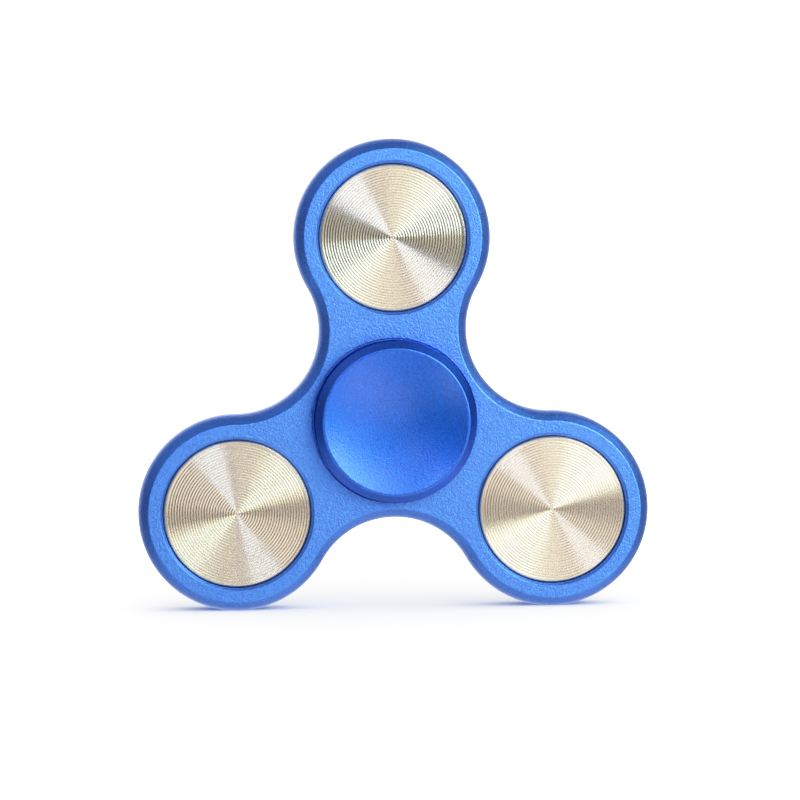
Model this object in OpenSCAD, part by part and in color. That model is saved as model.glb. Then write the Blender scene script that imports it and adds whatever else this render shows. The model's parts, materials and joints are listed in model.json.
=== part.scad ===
// Three-lobed fidget spinner: an anodised frame with a deep-groove ball bearing in the middle,
// a pair of finger caps screwed together through the bearing, and a two-part weight in each lobe.
// The spin axis is Y, -Y is the front, and +Z runs through the top lobe. The origin is the
// bearing's centre. Each module is drawn flat, with +Z as its front, and upright() stands it up.

/* [Frame] */
// Distance from the spin axis to the centre of each lobe
lobe_pitch = 27; // [26.8:0.1:27.6]
// Outer radius of a lobe
lobe_r = 14.4; // [14.2:0.05:14.8]
// Radius of the hollow between two lobes
valley_r = 12.55; // [12.4:0.05:13.2]
// Thickness of the frame, equal to the width of the bearing
frame_t = 7; // [6.8:0.1:8]
// Width of the chamfer around the frame's outline
edge_cut = 1.25; // [0.5:0.05:1.4]
// Radius of the shallow recess around each cap
recess_r = 12.23; // [12.1:0.01:12.4]
// Depth of that recess
recess_depth = 0.6; // [0.4:0.05:0.8]

/* [Weights] */
// Radius of the bore in each lobe
weight_bore_r = 11; // [10.95:0.01:11.2]
// Width of the chamfer at the mouth of each lobe's bore
mouth_cut = 0.42; // [0.2:0.02:0.6]
// Radius of a weight's flange
weight_r = 10.85; // [10.6:0.05:10.9]
// Width of the chamfer around a weight's face
weight_cut = 0.2; // [0.1:0.02:0.4]
// How far a weight's face lies below the frame's face
weight_inset = 0.3; // [0.1:0.05:0.5]
// Thickness of the ledge inside each lobe that the weights clamp
ledge_t = 2; // [1.6:0.1:2.4]
// Radius of the hole in that ledge
ledge_r = 6.5; // [6:0.1:7]

/* [Bearing] */
// Outside diameter of the bearing
bearing_od = 22; // [22:22]
// Bore of the bearing
bearing_bore = 8; // [8:8]
// Width of the bearing
bearing_w = 7; // [7:7]
// Diameter of a ball
ball_d = 3.969; // [3.969:3.969]
// Radius of the circle on which the balls run
ball_pitch_r = 7.5; // [7.5:7.5]
// Gap between a ball and either race
ball_gap = 0.02; // [0.015:0.005:0.03]

/* [Caps] */
// Largest radius of a cap
cap_r = 11.95; // [11.8:0.01:12]
// Height of a cap's rim over the frame's face
cap_rise = 4.1; // [3.8:0.1:4.6]
// Width of the chamfer around a cap
cap_cut = 1.08; // [0.8:0.02:1.2]
// Width of the flat rim around a cap's finger dish
rim_w = 0.34; // [0.2:0.02:0.5]
// Depth of the finger dish
dish_depth = 1.3; // [0.8:0.1:1.8]

/* [Hidden] */
$fn = 96;
LOBES = ["top", "left", "right"];
BALLS = 7;

eps = 0.01;
over = 1;
half_t = frame_t / 2;
half_w = bearing_w / 2;

// A valley's circle touches both lobes beside it, which fixes its distance from the spin axis.
// It stays a hair clear of them, because surfaces that only touch don't join cleanly.
hair = 0.01;
reach = lobe_r + valley_r + hair;
valley_pitch = (lobe_pitch + sqrt(4 * reach * reach - 3 * lobe_pitch * lobe_pitch)) / 2;

// Weights
neck_gap = 0.2;
neck_r = ledge_r - neck_gap;
weight_top = half_t - weight_inset;
joint_gap = 0.05;
weight_stud_r = 3;
weight_stud_end = 2.4;
weight_thread_pitch = 1;

// Bearing
ball_r = ball_d / 2;
groove_r = 2.08;
inner_land_r = 6.2;
outer_land_r = 8.8;
inner_groove_at = ball_pitch_r - ball_r - ball_gap + groove_r;
outer_groove_at = ball_pitch_r + ball_r + ball_gap - groove_r;
ring_cut = 0.3;
shield_seat_r = 9.6;
shield_seat_z = 2.75;
shield_t = 0.3;
shield_lip = 0.55;
shield_gap = 0.02;
shield_hole_r = inner_land_r + 0.22;
cage_in_r = 6.8;
cage_out_r = 8.2;
cage_t = 0.3;
cage_split = 0.02;
pocket_r = ball_r + 0.055;
rivet_r = 0.3;
rivet_head_r = 0.55;
rivet_head_t = 0.2;
rivet_gap = 0.02;

// Caps
cap_top = half_t + cap_rise;
rim_out_r = cap_r - cap_cut;
dish_r = rim_out_r - rim_w;
dish_sphere_r = (dish_r * dish_r + dish_depth * dish_depth) / (2 * dish_depth);
skirt_in_r = bearing_od / 2 + 0.3;
skirt_bottom = half_t - recess_depth + 0.3;
skirt_cut = 0.15;
pocket_top = half_w + 0.4;
boss_r = 5.5;
post_r = bearing_bore / 2 - 0.04;
cap_stud_r = 2.5;
cap_stud_end = 2.7;
cap_thread_pitch = 0.8;

function lobe_angle(i) = 90 + 120 * i;
function ball_angle(i) = 90 + 360 / BALLS * i;

// Stands a flat drawing up, so that its +Z faces the front
module upright() rotate([90, 0, 0]) children();

// Swaps front and rear
module rear_side() rotate([0, 180, 0]) children();

// Puts a copy at a lobe's centre, without turning it
module at_lobe(i) translate([lobe_pitch * cos(lobe_angle(i)), lobe_pitch * sin(lobe_angle(i)), 0]) children();

// A bore's mouth chamfer at height z, opening upwards
module mouth(r, cut, z) translate([0, 0, z - cut]) cylinder(r1 = r, r2 = r + cut + eps, h = cut + eps);

// A screw thread drawn as rings, from z = 0 upwards
module threads(r, h, pitch) {
    depth = 0.35 * pitch;
    turns = floor(h / pitch);
    rotate_extrude() polygon(concat(
        [[0, 0], [r - depth, 0]],
        [for (i = [0:turns - 1], step = [0, 1]) [r - depth * step, pitch * (i + 0.5 + step / 2)]],
        [[r - depth, h], [0, h]]
    ));
}

// A lobe's plate: a disc with both edges chamfered
module lobe_plate() rotate_extrude() polygon([
    [0, -half_t], [lobe_r - edge_cut, -half_t], [lobe_r, edge_cut - half_t],
    [lobe_r, half_t - edge_cut], [lobe_r - edge_cut, half_t], [0, half_t]
]);

// What a valley takes away: a cylinder that flares at both faces, which leaves the same chamfer
module valley_cut() {
    flare = edge_cut + over;
    rotate_extrude() polygon([
        [0, -half_t - over], [valley_r + flare, -half_t - over], [valley_r, edge_cut - half_t],
        [valley_r, half_t - edge_cut], [valley_r + flare, half_t + over], [0, half_t + over]
    ]);
}

// The web joins lobe centres and valley centres, less the valleys
module web() difference() {
    translate([0, 0, -half_t]) linear_extrude(frame_t) polygon([
        for (i = [0:2], at = [[lobe_pitch, 0], [valley_pitch, 60]])
            at[0] * [cos(lobe_angle(i) + at[1]), sin(lobe_angle(i) + at[1])]
    ]);
    for (i = [0:2]) rotate([0, 0, lobe_angle(i) + 60]) translate([valley_pitch, 0, 0]) valley_cut();
}

module frame_plate() {
    web();
    for (i = [0:2]) at_lobe(i) lobe_plate();
}

// Everything cut from one face of the frame, drawn for the front
module face_cuts() {
    translate([0, 0, half_t - recess_depth]) cylinder(r = recess_r, h = recess_depth + eps);
    for (i = [0:2]) at_lobe(i) {
        translate([0, 0, ledge_t / 2]) cylinder(r = weight_bore_r, h = half_t);
        mouth(weight_bore_r, mouth_cut, half_t);
    }
}

module frame() color("royalblue") upright() difference() {
    frame_plate();
    cylinder(r = bearing_od / 2, h = frame_t + over, center = true);
    for (i = [0:2]) at_lobe(i) cylinder(r = ledge_r, h = frame_t + over, center = true);
    face_cuts();
    mirror([0, 0, 1]) face_cuts();
}

// Flange and neck of a weight, from the middle of the ledge to its face
module weight_body() rotate_extrude() polygon([
    [0, joint_gap], [neck_r, joint_gap], [neck_r, ledge_t / 2], [weight_r, ledge_t / 2],
    [weight_r, weight_top - weight_cut], [weight_r - weight_cut, weight_top], [0, weight_top]
]);

module weight_front(i) color("gainsboro") upright() at_lobe(i) {
    weight_body();
    translate([0, 0, -weight_stud_end]) threads(weight_stud_r, weight_stud_end + 2 * joint_gap, weight_thread_pitch);
}

module weight_rear(i) color("gainsboro") upright() at_lobe(i) rear_side() difference() {
    weight_body();
    cylinder(r = weight_stud_r + joint_gap, h = weight_stud_end + 2 * joint_gap);
}

// The bearing's outer ring, with a step at each face for its shield
module outer_ring() color("silver") upright() rotate_extrude() {
    out_r = bearing_od / 2;
    difference() {
        polygon([
            [outer_land_r, -shield_seat_z], [shield_seat_r, -shield_seat_z], [shield_seat_r, -half_w],
            [out_r - ring_cut, -half_w], [out_r, ring_cut - half_w], [out_r, half_w - ring_cut],
            [out_r - ring_cut, half_w], [shield_seat_r, half_w], [shield_seat_r, shield_seat_z],
            [outer_land_r, shield_seat_z]
        ]);
        translate([outer_groove_at, 0]) circle(r = groove_r);
    }
}

module inner_ring() color("silver") upright() rotate_extrude() {
    bore_r = bearing_bore / 2;
    difference() {
        polygon([
            [bore_r, ring_cut - half_w], [bore_r + ring_cut, -half_w], [inner_land_r, -half_w],
            [inner_land_r, half_w], [bore_r + ring_cut, half_w], [bore_r, half_w - ring_cut]
        ]);
        translate([inner_groove_at, 0]) circle(r = groove_r);
    }
}

// A pressed steel shield: a flat washer with a lip that grips the outer ring
module shield() {
    out_r = shield_seat_r - shield_gap;
    rotate_extrude() polygon([
        [shield_hole_r, shield_seat_z], [out_r, shield_seat_z], [out_r, shield_seat_z + shield_lip],
        [out_r - shield_t, shield_seat_z + shield_lip], [out_r - shield_t, shield_seat_z + shield_t],
        [shield_hole_r, shield_seat_z + shield_t]
    ]);
}

module shield_front() color("darkgray") upright() shield();
module shield_rear() color("darkgray") upright() rear_side() shield();

module at_balls() for (i = [0:BALLS - 1]) rotate([0, 0, ball_angle(i)]) translate([ball_pitch_r, 0, 0]) children();
module at_rivets() rotate([0, 0, 180 / BALLS]) at_balls() children();

// One half of the ribbon cage: a flat ring with a domed pocket over every ball
module cage_half() difference() {
    intersection() {
        union() {
            translate([0, 0, cage_split]) cylinder(r = cage_out_r, h = cage_t);
            at_balls() sphere(r = pocket_r + cage_t);
        }
        translate([0, 0, cage_split]) difference() {
            cylinder(r = cage_out_r, h = ball_d);
            translate([0, 0, -1]) cylinder(r = cage_in_r, h = ball_d + 2);
        }
    }
    at_balls() sphere(r = pocket_r);
    at_rivets() cylinder(r = rivet_r + rivet_gap, h = ball_d, center = true);
}

module cage_front() color("tan") upright() cage_half();
module cage_rear() color("tan") upright() mirror([0, 0, 1]) cage_half();

module cage_rivets() color("darkgoldenrod") upright() at_rivets() {
    seat = cage_split + cage_t;
    cylinder(r = rivet_r, h = 2 * seat, center = true);
    for (side = [-1, 1]) translate([0, 0, side * (seat + rivet_head_t / 2)])
        cylinder(r = rivet_head_r, h = rivet_head_t, center = true);
}

module ball(i) color("white") upright()
    rotate([0, 0, ball_angle(i)]) translate([ball_pitch_r, 0, 0]) sphere(r = ball_r);

// A finger cap: skirt, chamfer, rim and dish, a boss that presses on the inner ring, and half the post
module cap_body() difference() {
    rotate_extrude() polygon([
        [0, joint_gap], [post_r, joint_gap], [post_r, half_w], [boss_r, half_w], [boss_r, pocket_top],
        [skirt_in_r, pocket_top], [skirt_in_r, skirt_bottom], [cap_r - skirt_cut, skirt_bottom],
        [cap_r, skirt_bottom + skirt_cut], [cap_r, cap_top - cap_cut], [rim_out_r, cap_top], [0, cap_top]
    ]);
    translate([0, 0, cap_top + dish_sphere_r - dish_depth]) sphere(r = dish_sphere_r);
}

module front_cap() color("royalblue") upright() {
    cap_body();
    translate([0, 0, -cap_stud_end]) threads(cap_stud_r, cap_stud_end + 2 * joint_gap, cap_thread_pitch);
}

module rear_cap() color("royalblue") upright() rear_side() difference() {
    cap_body();
    cylinder(r = cap_stud_r + joint_gap, h = cap_stud_end + 2 * joint_gap);
}

frame();
for (i = [0:2]) {
    weight_front(i);
    weight_rear(i);
}
outer_ring();
inner_ring();
shield_front();
shield_rear();
cage_front();
cage_rear();
cage_rivets();
for (i = [1:BALLS]) ball(i - 1);
front_cap();
rear_cap();
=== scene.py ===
"""Fidget spinner: a blue anodised frame, dished finger caps and turned metal discs, on a white floor."""

import json
import math

import bpy
from mathutils import Matrix, Quaternion, Vector
from mathutils.geometry import tessellate_polygon


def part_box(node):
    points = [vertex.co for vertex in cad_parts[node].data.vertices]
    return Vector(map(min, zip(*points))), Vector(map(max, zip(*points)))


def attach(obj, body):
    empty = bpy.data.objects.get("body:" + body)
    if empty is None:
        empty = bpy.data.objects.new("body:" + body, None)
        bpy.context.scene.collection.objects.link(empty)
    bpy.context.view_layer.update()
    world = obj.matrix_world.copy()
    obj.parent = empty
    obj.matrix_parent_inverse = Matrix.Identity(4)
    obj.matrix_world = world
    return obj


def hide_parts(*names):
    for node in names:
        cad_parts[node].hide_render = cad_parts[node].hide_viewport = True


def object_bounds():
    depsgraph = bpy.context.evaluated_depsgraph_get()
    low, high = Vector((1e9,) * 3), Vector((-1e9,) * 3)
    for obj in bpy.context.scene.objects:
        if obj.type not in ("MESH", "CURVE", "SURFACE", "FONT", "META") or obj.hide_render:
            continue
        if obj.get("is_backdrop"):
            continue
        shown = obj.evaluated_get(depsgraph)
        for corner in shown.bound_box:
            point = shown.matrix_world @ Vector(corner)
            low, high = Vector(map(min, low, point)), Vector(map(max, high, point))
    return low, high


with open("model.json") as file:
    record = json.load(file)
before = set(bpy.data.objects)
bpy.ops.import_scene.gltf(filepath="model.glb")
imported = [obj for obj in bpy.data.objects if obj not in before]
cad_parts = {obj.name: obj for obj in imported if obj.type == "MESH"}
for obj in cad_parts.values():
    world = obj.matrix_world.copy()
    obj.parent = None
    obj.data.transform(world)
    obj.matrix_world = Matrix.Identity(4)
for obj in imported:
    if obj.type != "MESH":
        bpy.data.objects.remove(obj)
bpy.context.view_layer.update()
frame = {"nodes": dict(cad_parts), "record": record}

MM = 0.001
TINY = 1e-8  # a length below this counts as none
STRAIGHT = 1e-4  # and so does a turn of fewer radians than this
FRONT = Vector((0, -1, 0))
LOBES = ("top", "left", "right")
SIDES = ("front", "rear")


# ---------------------------------------------------------------- dimensions, in metres

def size(node):
    """A CAD node's extent along X, Y and Z"""
    low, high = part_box(node)
    return high - low


def middle(node):
    """The centre of a CAD node's box, in the plane of the frame"""
    low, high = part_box(node)
    return Vector(((low.x + high.x) / 2, 0, (low.z + high.z) / 2))


HALF_T = size("frame").y / 2
LOBE_AT = {lobe: middle("weight_front_" + lobe) for lobe in LOBES}
LOBE_PITCH = LOBE_AT["top"].length
EDGE_SPREAD = 0.18 * MM  # how far the outer wall stands outside the CAD frame's
LOBE_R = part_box("frame")[1].z - LOBE_PITCH + EDGE_SPREAD
VALLEY_R = 12.55 * MM - EDGE_SPREAD  # the hollows between the lobes
EDGE_CUT = 1.25 * MM + EDGE_SPREAD  # the chamfer all round the outline
EDGE_ROUND = 0.3 * MM  # where the chamfer meets the face
WALL_ROUND = 2.6 * MM  # where it meets the wall

BORE_R = 11 * MM
MOUTH_CUT = 0.42 * MM
LEDGE_T = 2 * MM  # the ledge inside each lobe's bore, clamped by the weight's two halves
LEDGE_R = 6.5 * MM
RECESS_R = 12.23 * MM  # the shallow recess around each cap
RECESS_DEPTH = 0.6 * MM
BEARING_R = size("outer_ring").x / 2
SMALL_ROUND = 0.1 * MM

WEIGHT_R = size("weight_front_top").x / 2
WEIGHT_TOP = -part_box("weight_front_top")[0].y
WEIGHT_CUT = 0.2 * MM
RING_PITCH = 0.4 * MM  # the turned grooves
RING_COUNT = 26
RING_STEEPEST = math.radians(13)  # the slope at a groove's edge
NECK_R = LEDGE_R - 0.2 * MM
JOINT_GAP = 0.05 * MM  # the clearance in a screwed joint
WEIGHT_STUD = {"r": 3 * MM, "end": 2.4 * MM, "pitch": 1 * MM}

CAP_R = size("front_cap").x / 2
CAP_TOP = -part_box("front_cap")[0].y
CAP_CUT = 1.08 * MM
RIM_W = 0.34 * MM
RIM_R = CAP_R - CAP_CUT
DISH_R = RIM_R - RIM_W
DISH_DEPTH = 1.3 * MM
DISH_SPHERE_R = (DISH_R ** 2 + DISH_DEPTH ** 2) / (2 * DISH_DEPTH)
SKIRT_BOTTOM = HALF_T - 0.3 * MM  # inside the recess, clear of its floor
SKIRT_IN_R = BEARING_R + 0.3 * MM
POCKET_TOP = HALF_T + 0.4 * MM
BOSS_R = 5.5 * MM  # the boss that touches the bearing's inner ring
POST_R = 3.96 * MM  # the post through the bearing
CAP_STUD = {"r": 2.5 * MM, "end": 2.7 * MM, "pitch": 0.8 * MM}


# ---------------------------------------------------------------- mesh building

def stations(path, steps=6):
    """Rounds a path of (out, height, radius) corners. A station is (out, height, angle of its normal).
    The normal is to the left of the way the path runs. At 0 it points straight out, and at a quarter
    turn straight to the front."""
    made = []
    for i, (out, height, radius) in enumerate(path):
        here = Vector((out, height))
        into = (here - Vector(path[i - 1][:2])).normalized() if i else None
        away = (Vector(path[i + 1][:2]) - here).normalized() if i + 1 < len(path) else None
        if into is None or away is None:
            way = into or away
            made.append((out, height, math.atan2(way.x, -way.y)))
            continue
        before = math.atan2(into.x, -into.y)
        turn = -into.angle_signed(away)
        if radius == 0 or abs(turn) < STRAIGHT:
            made += [(out, height, before), (out, height, before + turn)]
            continue
        side = 1 if turn < 0 else -1
        start = here - into * radius * math.tan(abs(turn) / 2)
        hub = start - side * radius * Vector((math.cos(before), math.sin(before)))
        for step in range(steps + 1):
            angle = before + turn * step / steps
            spot = hub + side * radius * Vector((math.cos(angle), math.sin(angle)))
            made.append((spot.x, spot.y, angle))
    return made


def circle_track(centre=Vector(), count=192):
    """Once around a circle: each point's centre, the way out there and the radius to add"""
    return [(centre, heading(360 * i / count), 0.0) for i in range(count)]


def heading(degrees):
    """A unit vector in the plane of the frame, with 0 to the right and 90 upwards"""
    return Vector((math.cos(math.radians(degrees)), 0, math.sin(math.radians(degrees))))


class Shell:
    """Points, faces and one normal for each corner of each face"""

    def __init__(self):
        self.points = []
        self.faces = []
        self.normals = []

    def ring(self, track, out, height):
        """One point for each place on the track, or a single point where they all meet"""
        first = len(self.points)
        spots = [centre + way * (radius + out) + FRONT * height for centre, way, radius in track]
        if (spots[0] - spots[len(spots) // 2]).length < TINY:
            self.points.append(spots[0])
            return [first] * len(track)
        self.points += spots
        return list(range(first, first + len(track)))

    def sweep(self, track, profile):
        """Skins a profile around a track, and returns its first and last rings"""
        rings = []
        for i, (out, height, angle) in enumerate(profile):
            same = i and abs(out - profile[i - 1][0]) + abs(height - profile[i - 1][1]) < TINY
            ring = rings[-1][0] if same else self.ring(track, out, height)
            rings.append((ring, angle))
        count = len(track)
        for (one, one_angle), (two, two_angle) in zip(rings, rings[1:]):
            if one is two:
                continue
            for j in range(count):
                k = (j + 1) % count
                corners = [(one, j, one_angle), (two, j, two_angle)]
                corners += [(two, k, two_angle), (one, k, one_angle)]
                if two[j] == two[k]:
                    corners.pop(2)
                elif one[j] == one[k]:
                    corners.pop(3)
                self.faces.append([ring[at] for ring, at, _ in corners])
                self.normals += [
                    track[at][1] * math.cos(angle) + FRONT * math.sin(angle) for _, at, angle in corners
                ]
        return rings[0][0], rings[-1][0]

    def plane(self, outer, holes, towards):
        """Fills a flat face between an outer ring and its holes"""
        loops = [outer] + holes
        names = [name for loop in loops for name in loop]
        for triangle in tessellate_polygon([[self.points[name] for name in loop] for loop in loops]):
            face = [names[corner] for corner in triangle]
            a, b, c = (self.points[name] for name in face)
            if (b - a).cross(c - a).dot(towards) < 0:
                face.reverse()
            self.faces.append(face)
            self.normals += [towards] * 3

    def turned_round(self):
        """The same shell turned half a turn about the vertical, to face the rear"""
        other = Shell()
        other.points = [Vector((-p.x, -p.y, p.z)) for p in self.points]
        other.normals = [Vector((-n.x, -n.y, n.z)) for n in self.normals]
        other.faces = self.faces
        return other

    def make(self, name, material, place=Vector()):
        """A Blender object of this shell"""
        mesh = bpy.data.meshes.new(name)
        mesh.from_pydata(self.points, [], self.faces)
        mesh.polygons.foreach_set("use_smooth", [True] * len(self.faces))
        mesh.normals_split_custom_set(self.normals)
        mesh.materials.append(material)
        made = bpy.data.objects.new(name, mesh)
        made.location = place
        bpy.context.scene.collection.objects.link(made)
        return made


# ---------------------------------------------------------------- the frame

def outline(lobe_steps=120, valley_steps=60):
    """Once around the frame: three lobes and the three valleys between them"""
    reach = LOBE_R + VALLEY_R
    valley_pitch = (LOBE_PITCH + math.sqrt(4 * reach ** 2 - 3 * LOBE_PITCH ** 2)) / 2
    track = []
    for lobe in range(3):
        faces = 90 + 120 * lobe
        lobe_centre = heading(faces) * LOBE_PITCH
        valley_centre = heading(faces + 60) * valley_pitch
        to_valley = valley_centre - lobe_centre
        half = (math.degrees(math.atan2(to_valley.z, to_valley.x)) - faces) % 360
        for step in range(lobe_steps):
            track.append((lobe_centre, heading(faces - half + 2 * half * step / lobe_steps), LOBE_R))
        for step in range(valley_steps):
            swing = (2 * half - 120) * step / valley_steps
            track.append((valley_centre, heading(faces + half - swing), -VALLEY_R))
    return track


def outer_profile():
    """From the front face over the chamfered edge to the rear face"""
    land = EDGE_CUT + 2 * EDGE_ROUND
    return stations([
        (-land, HALF_T, 0),
        (-EDGE_CUT, HALF_T, EDGE_ROUND),
        (0, HALF_T - EDGE_CUT, WALL_ROUND),
        (0, EDGE_CUT - HALF_T, WALL_ROUND),
        (-EDGE_CUT, -HALF_T, EDGE_ROUND),
        (-land, -HALF_T, 0),
    ], steps=8)


def both_ways(half):
    """A bore's profile from rear to front, from its front half listed from the middle outwards"""
    return stations([(out, -height, radius) for out, height, radius in reversed(half)] + half)


def lobe_bore_profile():
    mouth_r = BORE_R + MOUTH_CUT
    return both_ways([
        (LEDGE_R, LEDGE_T / 2, SMALL_ROUND),
        (BORE_R, LEDGE_T / 2, SMALL_ROUND),
        (BORE_R, HALF_T - MOUTH_CUT, SMALL_ROUND),
        (mouth_r, HALF_T, SMALL_ROUND),
        (mouth_r + 2 * SMALL_ROUND, HALF_T, 0),
    ])


def centre_bore_profile():
    floor = HALF_T - RECESS_DEPTH
    return both_ways([
        (BEARING_R, floor, SMALL_ROUND),
        (RECESS_R, floor, SMALL_ROUND),
        (RECESS_R, HALF_T, SMALL_ROUND / 2),
        (RECESS_R + 2 * SMALL_ROUND, HALF_T, 0),
    ])


def build_frame(material):
    shell = Shell()
    front, rear = shell.sweep(outline(), outer_profile())
    bores = [shell.sweep(circle_track(LOBE_AT[lobe]), lobe_bore_profile()) for lobe in LOBES]
    bores.append(shell.sweep(circle_track(), centre_bore_profile()))
    shell.plane(front, [bore[1] for bore in bores], FRONT)
    shell.plane(rear, [bore[0] for bore in bores], -FRONT)
    return shell.make("spinner_frame", material)


# ---------------------------------------------------------------- weights and caps

def thread(stud, top):
    """A stud's thread from height top down to its end, as rings"""
    depth = 0.35 * stud["pitch"]
    path = [(stud["r"] - depth, top, 0)]
    height = top - 0.5 * stud["pitch"]
    while height - 0.5 * stud["pitch"] > -stud["end"]:
        path.append((stud["r"], height, SMALL_ROUND / 2))
        path.append((stud["r"] - depth, height - 0.5 * stud["pitch"], 0))
        height -= stud["pitch"]
    return path + [(stud["r"] - depth, -stud["end"], 0), (0, -stud["end"], 0)]


def socket(stud, top):
    """The hole that a stud screws into, from height top inwards"""
    wide = stud["r"] + JOINT_GAP
    deep = stud["end"] + 2 * JOINT_GAP
    return [(wide, top, 0), (wide, deep, 0), (0, deep, 0)]


def ring_profile(steps=7):
    """The turned face: concave grooves side by side, as a round-nosed tool leaves them"""
    tool_r = RING_PITCH / 2 / math.sin(RING_STEEPEST)
    lift = tool_r * math.cos(RING_STEEPEST)
    made = []
    for ring in range(RING_COUNT):
        for step in range(steps + 1):
            slope = RING_STEEPEST * (2 * step / steps - 1)
            out = (ring + 0.5) * RING_PITCH + tool_r * math.sin(slope)
            angle = math.pi / 2 + slope
            if out < TINY:
                out, angle = 0.0, math.pi / 2
            made.append((out, WEIGHT_TOP + lift - tool_r * math.cos(slope), angle))
    return made


def weight_profile(inside):
    """A weight from the middle of its face, round its flange and neck, to what joins the two halves"""
    rings_r = RING_PITCH * RING_COUNT
    return ring_profile() + stations([
        (rings_r, WEIGHT_TOP, 0),
        (WEIGHT_R - WEIGHT_CUT, WEIGHT_TOP, SMALL_ROUND / 2),
        (WEIGHT_R, WEIGHT_TOP - WEIGHT_CUT, SMALL_ROUND / 2),
        (WEIGHT_R, LEDGE_T / 2, SMALL_ROUND),
        (NECK_R, LEDGE_T / 2, 0),
        (NECK_R, JOINT_GAP, 0),
    ] + inside, steps=4)


def build_weights(material):
    """Both halves of each lobe's weight"""
    made = {}
    fronts = Shell()
    fronts.sweep(circle_track(), weight_profile(thread(WEIGHT_STUD, JOINT_GAP)))
    rears = Shell()
    rears.sweep(circle_track(), weight_profile(socket(WEIGHT_STUD, JOINT_GAP)))
    rears = rears.turned_round()
    for side, shell in zip(SIDES, (fronts, rears)):
        for lobe in LOBES:
            made[f"weight_{side}_{lobe}"] = shell.make(f"disc_{side}_{lobe}", material, LOBE_AT[lobe])
    return made


def dish_profile(steps=40):
    """The finger dish, from its lowest point to its edge"""
    made = []
    centre = CAP_TOP - DISH_DEPTH + DISH_SPHERE_R
    steepest = math.asin(DISH_R / DISH_SPHERE_R)
    for step in range(steps + 1):
        slope = steepest * step / steps
        out = DISH_SPHERE_R * math.sin(slope)
        made.append((out, centre - DISH_SPHERE_R * math.cos(slope), math.pi / 2 + slope))
    return made


def cap_profile(inside):
    """A cap from the middle of its dish, over its rim and down its skirt, to what joins the two caps"""
    return dish_profile() + stations([
        (DISH_R, CAP_TOP, 0),
        (RIM_R, CAP_TOP, SMALL_ROUND * 3),
        (CAP_R, CAP_TOP - CAP_CUT, SMALL_ROUND * 3),
        (CAP_R, SKIRT_BOTTOM, SMALL_ROUND),
        (SKIRT_IN_R, SKIRT_BOTTOM, SMALL_ROUND),
        (SKIRT_IN_R, POCKET_TOP, SMALL_ROUND),
        (BOSS_R, POCKET_TOP, SMALL_ROUND),
        (BOSS_R, HALF_T, 0),
        (POST_R, HALF_T, 0),
        (POST_R, JOINT_GAP, 0),
    ] + inside)


def build_caps(material):
    made = {}
    for side, inside in zip(SIDES, (thread(CAP_STUD, JOINT_GAP), socket(CAP_STUD, JOINT_GAP))):
        shell = Shell()
        shell.sweep(circle_track(count=256), cap_profile(inside))
        if side == "rear":
            shell = shell.turned_round()
        made[side + "_cap"] = shell.make("finger_cap_" + side, material)
    return made


# ---------------------------------------------------------------- materials

class Finish:
    """A metal's node tree, with its patterns in the object's own coordinates"""

    def __init__(self, name, metallic=1.0):
        self.material = bpy.data.materials.new(name)
        self.material.use_nodes = True
        self.tree = self.material.node_tree
        self.shader = self.tree.nodes["Principled BSDF"]
        self.shader.inputs["Metallic"].default_value = metallic
        self.where = self.tree.nodes.new("ShaderNodeTexCoord").outputs["Object"]

    def link(self, source, target):
        self.tree.links.new(source, target)

    def fixed(self, **values):
        """Sets uniform values on the shader's own sockets"""
        for name, value in values.items():
            self.shader.inputs[name.replace("_", " ")].default_value = value

    def noise(self, grain, detail=2.0, roughness=0.5, where=None):
        """A noise whose blobs are about grain metres across"""
        node = self.tree.nodes.new("ShaderNodeTexNoise")
        node.inputs["Scale"].default_value = 1 / grain
        node.inputs["Detail"].default_value = detail
        node.inputs["Roughness"].default_value = roughness
        self.link(where or self.where, node.inputs["Vector"])
        return node.outputs["Fac"]

    def spread(self, source, low, high, start=0.3, end=0.7):
        """Maps a noise's usual range to a low and a high value"""
        node = self.tree.nodes.new("ShaderNodeMapRange")
        for name, value in zip(("From Min", "From Max", "To Min", "To Max"), (start, end, low, high)):
            node.inputs[name].default_value = value
        self.link(source, node.inputs["Value"])
        return node.outputs["Result"]

    def math(self, operation, one, two):
        """One and two are sockets or numbers"""
        node = self.tree.nodes.new("ShaderNodeMath")
        node.operation = operation
        for value, target in zip((one, two), node.inputs):
            if isinstance(value, (int, float)):
                target.default_value = value
            else:
                self.link(value, target)
        return node.outputs["Value"]

    def vector(self, operation, one, two=None, scale=None):
        """Vector arithmetic on sockets, where two may be a constant"""
        node = self.tree.nodes.new("ShaderNodeVectorMath")
        node.operation = operation
        self.link(one, node.inputs[0])
        if isinstance(two, tuple):
            node.inputs[1].default_value = two
        elif two is not None:
            self.link(two, node.inputs[1])
        if scale is not None:
            node.inputs["Scale"].default_value = scale
        return node.outputs["Value" if operation == "LENGTH" else "Vector"]

    def colour(self, source, dark, light):
        """Colours the surface from dark to light by a 0 to 1 pattern"""
        node = self.tree.nodes.new("ShaderNodeMix")
        node.data_type = "RGBA"
        node.inputs["A"].default_value = (*dark, 1)
        node.inputs["B"].default_value = (*light, 1)
        self.link(source, node.inputs["Factor"])
        self.link(node.outputs["Result"], self.shader.inputs["Base Color"])

    def rough(self, source, low, high):
        self.link(self.spread(source, low, high), self.shader.inputs["Roughness"])

    def bump(self, source, depth, target="Normal"):
        node = self.tree.nodes.new("ShaderNodeBump")
        node.inputs["Distance"].default_value = depth
        self.link(source, node.inputs["Height"])
        self.link(node.outputs["Normal"], self.shader.inputs[target])


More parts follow.
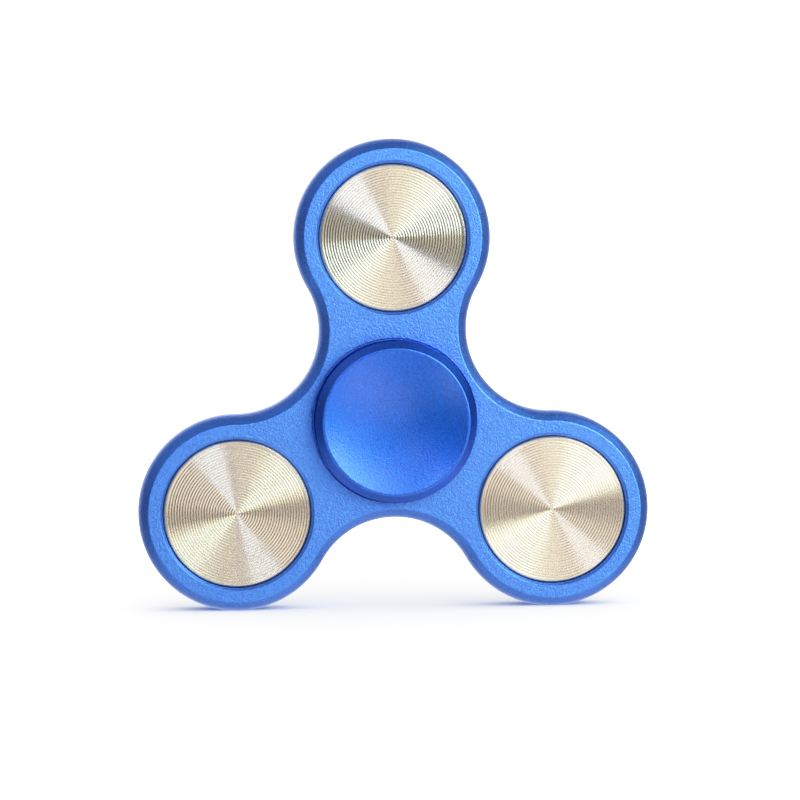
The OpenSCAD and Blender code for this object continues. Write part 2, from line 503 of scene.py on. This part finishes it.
def anodised(name, grain, base, contrast, low, high, depth, gloss, gloss_depth, clear_ior):
    """Bead-blasted, dyed aluminium: fine sparkling grains and a faint mottling, under a clear layer"""
    finish = Finish(name)
    fine = finish.noise(grain, detail=1.0, roughness=0.6)
    mottled = finish.noise(grain * 8, detail=2.0)
    dark = [c * (1 - contrast) for c in base]
    light = [min(1, c * (1 + contrast)) for c in base]
    finish.colour(finish.spread(fine, 0, 1), dark, light)
    finish.rough(mottled, low, high)
    finish.bump(fine, depth)
    finish.bump(fine, gloss_depth, "Coat Normal")
    finish.fixed(Coat_Weight=1.0, Coat_Roughness=gloss, Coat_IOR=clear_ior)
    return finish


def bare_skirt_painted_shade(finish, start, painted_shade_tint):
    """Takes the clear layer off beyond radius start, and tints the metal seen at a low angle to a
    near-black colour:
    painted shade, which darkens the cap's skirt in the gap around the cap where shade falls"""
    radius = finish.vector("LENGTH", finish.vector("MULTIPLY", finish.where, (1, 0, 1)))
    clear = finish.spread(radius, 1, 0, start=start, end=start + 0.02 * MM)
    finish.link(clear, finish.shader.inputs["Coat Weight"])
    # the near-black colour for low angles is painted shade for the gap around the cap
    finish.fixed(Specular_Tint=(*painted_shade_tint, 1))


def turned(name, dark, light, low, high, anisotropy):
    """Metal cut on a lathe: streaks along the rings, and gloss that spreads across them"""
    turns = 1.5  # the higher, the shorter the streaks are around the disc
    streak_width = 0.09 * MM
    finish = Finish(name)
    flat = finish.vector("MULTIPLY", finish.where, (1, 0, 1))
    radius = finish.vector("LENGTH", flat)
    along = finish.vector("SCALE", finish.vector("NORMALIZE", flat), scale=turns)
    across = finish.tree.nodes.new("ShaderNodeCombineXYZ")
    finish.link(finish.math("DIVIDE", radius, streak_width), across.inputs["Y"])
    streaks = finish.noise(1, detail=2.0, where=finish.vector("ADD", along, across.outputs["Vector"]))
    finish.colour(finish.spread(streaks, 0, 1), dark, light)
    finish.rough(streaks, low, high)
    finish.fixed(Anisotropic=anisotropy, Anisotropic_Rotation=0.25)
    around = finish.tree.nodes.new("ShaderNodeTangent")
    around.direction_type = "RADIAL"
    around.axis = "Y"
    finish.link(around.outputs["Tangent"], finish.shader.inputs["Tangent"])
    return finish.material


def ground(name, dark, light, low, high, grain):
    """Plain ground, pressed or polished metal inside the bearing"""
    finish = Finish(name)
    marks = finish.noise(grain, detail=4.0)
    finish.colour(finish.spread(marks, 0, 1), dark, light)
    finish.rough(marks, low, high)
    finish.bump(marks, 0.004 * MM)
    return finish.material


def floor_paint():
    """A matt white surface, faintly uneven, which glows more the farther it is from the spinner"""
    finish = Finish("floor_paint", metallic=0.0)
    finish.colour(finish.noise(20 * MM, detail=3.0), (0.93, 0.93, 0.93), (0.95, 0.95, 0.95))
    distance = finish.vector("LENGTH", finish.where)
    glow = finish.spread(distance, 0, 1, start=42 * MM, end=120 * MM)
    finish.link(glow, finish.shader.inputs["Emission Strength"])
    finish.fixed(Roughness=1.0, Specular_IOR_Level=0.0, Emission_Color=(1, 1, 1, 1))
    return finish.material


# ---------------------------------------------------------------- stage, camera and light

def build_floor(material, radius=3.0, count=96):
    """A round floor that the two lower lobes stand on"""
    shell = Shell()
    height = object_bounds()[0][2]
    shell.points.append(Vector((0, 0, height)))
    for i in range(count):
        angle = 2 * math.pi * i / count
        shell.points.append(Vector((radius * math.cos(angle), radius * math.sin(angle), height)))
    for i in range(count):
        shell.faces.append([0, 1 + i, 1 + (i + 1) % count])
        shell.normals += [Vector((0, 0, 1))] * 3
    floor = shell.make("floor", material)
    floor.visible_glossy = False
    floor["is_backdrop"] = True
    return floor


def towards(right, up):
    """The direction that many degrees to the right of straight ahead of the spinner, and up"""
    right, up = math.radians(right), math.radians(up)
    return Vector((math.sin(right) * math.cos(up), -math.cos(right) * math.cos(up), math.sin(up)))


def build_camera(right=-4.19, up=4.09, roll=-0.467, distance=0.6):
    """A long lens, a little to the left of the spinner and above it"""
    aim = FRONT * HALF_T
    back = towards(right, up)
    data = bpy.data.cameras.new("camera")
    data.sensor_width = 36
    data.lens = 182.8
    data.shift_x = 0.00674
    data.shift_y = 0.0259
    camera = bpy.data.objects.new("camera", data)
    turn = back.to_track_quat("Z", "Y").to_matrix().to_4x4()
    camera.matrix_world = turn @ Matrix.Rotation(math.radians(roll), 4, "Z")
    camera.location = aim + back * distance
    bpy.context.scene.collection.objects.link(camera)
    bpy.context.scene.camera = camera


def all_but(floor):
    """What the panels light: everything except the floor, which has the dome's light alone"""
    unlit = bpy.data.collections.new("not_lit_by_panels")
    unlit.objects.link(floor)
    unlit.collection_objects[0].light_linking.link_state = "EXCLUDE"
    return unlit


def softbox(name, right, up, roll, distance, width, height, radiance, lit):
    """A panel of light that faces the middle of the spinner, hidden from the camera. Sizes are in
    metres."""
    brightest = max(radiance)
    data = bpy.data.lights.new(name, "AREA")
    data.shape = "RECTANGLE"
    data.size = width
    data.size_y = height
    data.color = [level / brightest for level in radiance]
    data.energy = math.pi * width * height * brightest
    light = bpy.data.objects.new(name, data)
    way = towards(right, up)
    light.location = way * distance
    light.rotation_mode = "QUATERNION"
    facing = way.to_track_quat("Z", "Y")
    light.rotation_quaternion = facing @ Quaternion((0, 0, 1), math.radians(roll))
    light.visible_camera = False
    light.light_linking.receiver_collection = lit
    bpy.context.scene.collection.objects.link(light)


class Studio:
    """The surroundings: plain white to the camera, a dome of light to matt surfaces such as the floor,
    and a room of soft lights to reflections"""

    def __init__(self):
        world = bpy.data.worlds.new("studio")
        bpy.context.scene.world = world
        world.use_nodes = True
        self.tree = world.node_tree
        self.tree.nodes.clear()
        self.where = self.tree.nodes.new("ShaderNodeTexCoord").outputs["Generated"]
        self.total = None

    def vector_math(self, operation):
        node = self.tree.nodes.new("ShaderNodeVectorMath")
        node.operation = operation
        return node

    def add(self, light):
        if self.total is None:
            self.total = light
            return
        node = self.vector_math("ADD")
        self.tree.links.new(self.total, node.inputs[0])
        self.tree.links.new(light, node.inputs[1])
        self.total = node.outputs["Vector"]

    def ramp(self, way, limits):
        """A value that depends on how near a direction is to one way. Limits are the cosines where it
        starts and ends, and the values there."""
        dot = self.vector_math("DOT_PRODUCT")
        dot.inputs[1].default_value = Vector(way).normalized()
        self.tree.links.new(self.where, dot.inputs[0])
        node = self.tree.nodes.new("ShaderNodeMapRange")
        for name, value in zip(("From Min", "From Max", "To Min", "To Max"), limits):
            node.inputs[name].default_value = value
        self.tree.links.new(dot.outputs["Value"], node.inputs["Value"])
        return node

    def glow(self, way, full, none, radiance):
        """Light from one direction: full strength within that many degrees of it, fading out to none"""
        fade = self.ramp(way, (math.cos(math.radians(none)), math.cos(math.radians(full)), 0, 1))
        fade.interpolation_type = "SMOOTHSTEP"
        light = self.vector_math("SCALE")
        light.inputs[0].default_value = radiance
        self.tree.links.new(fade.outputs["Result"], light.inputs["Scale"])
        self.add(light.outputs["Vector"])

    def dome(self, way, dimmest, brightest):
        """White light from all round, brightest in one direction and dimmest opposite it"""
        return self.ramp(way, (-1, 1, dimmest, brightest)).outputs["Result"]

    def finish(self, seen, dome):
        """The camera sees plain white, and matt surfaces are lit by the dome"""
        path = self.tree.nodes.new("ShaderNodeLightPath")
        total = self.total
        for flag, light in (("Is Diffuse Ray", dome), ("Is Camera Ray", None)):
            node = self.tree.nodes.new("ShaderNodeMix")
            node.data_type = "RGBA"
            if light:
                self.tree.links.new(light, node.inputs["B"])
            else:
                node.inputs["B"].default_value = (seen, seen, seen, 1)
            self.tree.links.new(path.outputs[flag], node.inputs["Factor"])
            self.tree.links.new(total, node.inputs["A"])
            total = node.outputs["Result"]
        background = self.tree.nodes.new("ShaderNodeBackground")
        output = self.tree.nodes.new("ShaderNodeOutputWorld")
        self.tree.links.new(total, background.inputs["Color"])
        self.tree.links.new(background.outputs["Background"], output.inputs["Surface"])


def build_light(floor):
    """A room for reflections to see, and the panels in front of the spinner"""
    studio = Studio()
    studio.glow((-1, -0.2, 0), full=20, none=75, radiance=(0.14, 0.14, 0.16))
    studio.glow((1, -0.2, 0), full=20, none=75, radiance=(0.14, 0.14, 0.16))
    studio.glow((0, -0.2, 1), full=20, none=75, radiance=(0.20, 0.22, 0.26))
    studio.glow((0, -0.2, -1), full=20, none=75, radiance=(0.60, 0.60, 0.60))
    studio.glow((0, 1, 0), full=15, none=75, radiance=(1.1, 1.1, 1.1))
    studio.glow((0.24, 0.96, 0.15), full=4, none=18, radiance=(1.0, 1.0, 0.9))
    studio.glow((-0.12, 0.97, 0.11), full=2, none=10, radiance=(1.0, 1.1, 1.3))
    studio.glow((1, -1, -1), full=15, none=50, radiance=(0.80, 0.80, 0.80))
    studio.glow((-1, -1, -1), full=10, none=43, radiance=(0.5, 0.5, 0.5))
    studio.glow((-1, -1, 1), full=15, none=50, radiance=(0.25, 0.28, 0.33))
    dome = studio.dome((0.75, -0.3, 0.6), dimmest=0.25, brightest=2.1)
    studio.finish(seen=1.5, dome=dome)
    lit = all_but(floor)
    softbox("key_panel", right=42.3, up=25.6, roll=-6.4, distance=0.48,
            width=0.356, height=0.407, radiance=(5.3, 6.0, 5.5), lit=lit)
    softbox("inner_panel", right=12.5, up=20.6, roll=-32.3, distance=0.566,
            width=0.207, height=0.217, radiance=(2.6, 2.45, 2.0), lit=lit)
    softbox("lens_panel", right=-3.0, up=7.9, roll=-24, distance=1.121,
            width=0.216, height=0.139, radiance=(2.25, 2.05, 2.05), lit=lit)
    softbox("window_panel", right=-13.5, up=19.4, roll=-48, distance=0.524,
            width=0.07, height=0.129, radiance=(4.6, 6.4, 8.4), lit=lit)
    softbox("table_panel", right=10.7, up=-13.6, roll=-24.6, distance=0.581,
            width=0.283, height=0.152, radiance=(1.6, 1.3, 0.96), lit=lit)
    softbox("corner_panel", right=-21.0, up=-20.4, roll=26.7, distance=0.435,
            width=0.144, height=0.087, radiance=(1.7, 1.9, 1.5), lit=lit)
    softbox("strip_panel", right=24.4, up=0.4, roll=13.8, distance=0.506,
            width=0.273, height=0.038, radiance=(1.6, 1.4, 0.9), lit=lit)


# Radiance in, display brightness out: straight up to 0.6, then a shoulder that reaches white at WHITE
WHITE = 1.4
SHOULDER = ((0.6, 0.6), (0.8, 0.775), (1.0, 0.9), (1.2, 0.975))


def set_tone():
    """Plain display colours with a soft shoulder in the highlights"""
    view = bpy.context.scene.view_settings
    view.view_transform = "Standard"
    view.use_curve_mapping = True
    mapping = view.curve_mapping
    mapping.white_level = (WHITE, WHITE, WHITE)
    curve = mapping.curves[3]
    for radiance, shown in SHOULDER:
        curve.points.new(radiance / WHITE, shown)
    mapping.update()


# ---------------------------------------------------------------- everything together

build_camera()
set_tone()
build_light(build_floor(floor_paint()))

frame_blue = anodised(
    "frame_anodised", grain=0.24 * MM, base=(0.023, 0.196, 1.0), contrast=0.28, low=0.38, high=0.42,
    depth=0.065 * MM, gloss=0.38, gloss_depth=0.08 * MM, clear_ior=1.67)
cap_blue = anodised(
    "cap_anodised", grain=0.22 * MM, base=(0.003, 0.108, 0.69), contrast=0.30, low=0.34, high=0.37,
    depth=0.035 * MM, gloss=0.23, gloss_depth=0.015 * MM, clear_ior=1.5)
# painted shade: the bare skirt and its near-black tint at low angles darken the gap between cap and
# frame
bare_skirt_painted_shade(cap_blue, start=CAP_R - 0.05 * MM, painted_shade_tint=(0.01, 0.05, 0.12))
disc_metal = turned(
    "turned_steel", dark=(0.63, 0.607, 0.55), light=(0.69, 0.657, 0.60),
    low=0.20, high=0.22, anisotropy=1.0)

pieces = {"frame": build_frame(frame_blue.material)}
pieces.update(build_weights(disc_metal))
pieces.update(build_caps(cap_blue.material))

BODIES = frame["record"]["behaviour"]["bodies"]
BODY_OF = {node: body for body, nodes in BODIES.items() for node in nodes}
SLOT_OF = {part["node"]: part["material_slot"] for part in frame["record"]["subparts"]}
for node, piece in pieces.items():
    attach(piece, BODY_OF[node])
    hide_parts(node)

STEELS = {
    "bearing_steel": ground(
        "ground_steel", dark=(0.52, 0.53, 0.55), light=(0.62, 0.63, 0.65),
        low=0.16, high=0.26, grain=0.3 * MM),
    "shield_steel": ground(
        "pressed_steel", dark=(0.46, 0.46, 0.47), light=(0.58, 0.58, 0.59),
        low=0.28, high=0.40, grain=0.5 * MM),
    "cage_steel": ground(
        "cage_steel", dark=(0.42, 0.41, 0.39), light=(0.55, 0.53, 0.50),
        low=0.30, high=0.42, grain=0.4 * MM),
    "rivet_brass": ground(
        "rivet_brass", dark=(0.66, 0.48, 0.22), light=(0.80, 0.60, 0.30),
        low=0.25, high=0.36, grain=0.2 * MM),
    "ball_steel": ground(
        "polished_steel", dark=(0.60, 0.61, 0.63), light=(0.66, 0.67, 0.69),
        low=0.04, high=0.10, grain=0.6 * MM),
}
for node, part in frame["nodes"].items():
    if node not in pieces:
        part.data.materials.clear()
        part.data.materials.append(STEELS[SLOT_OF[node]])
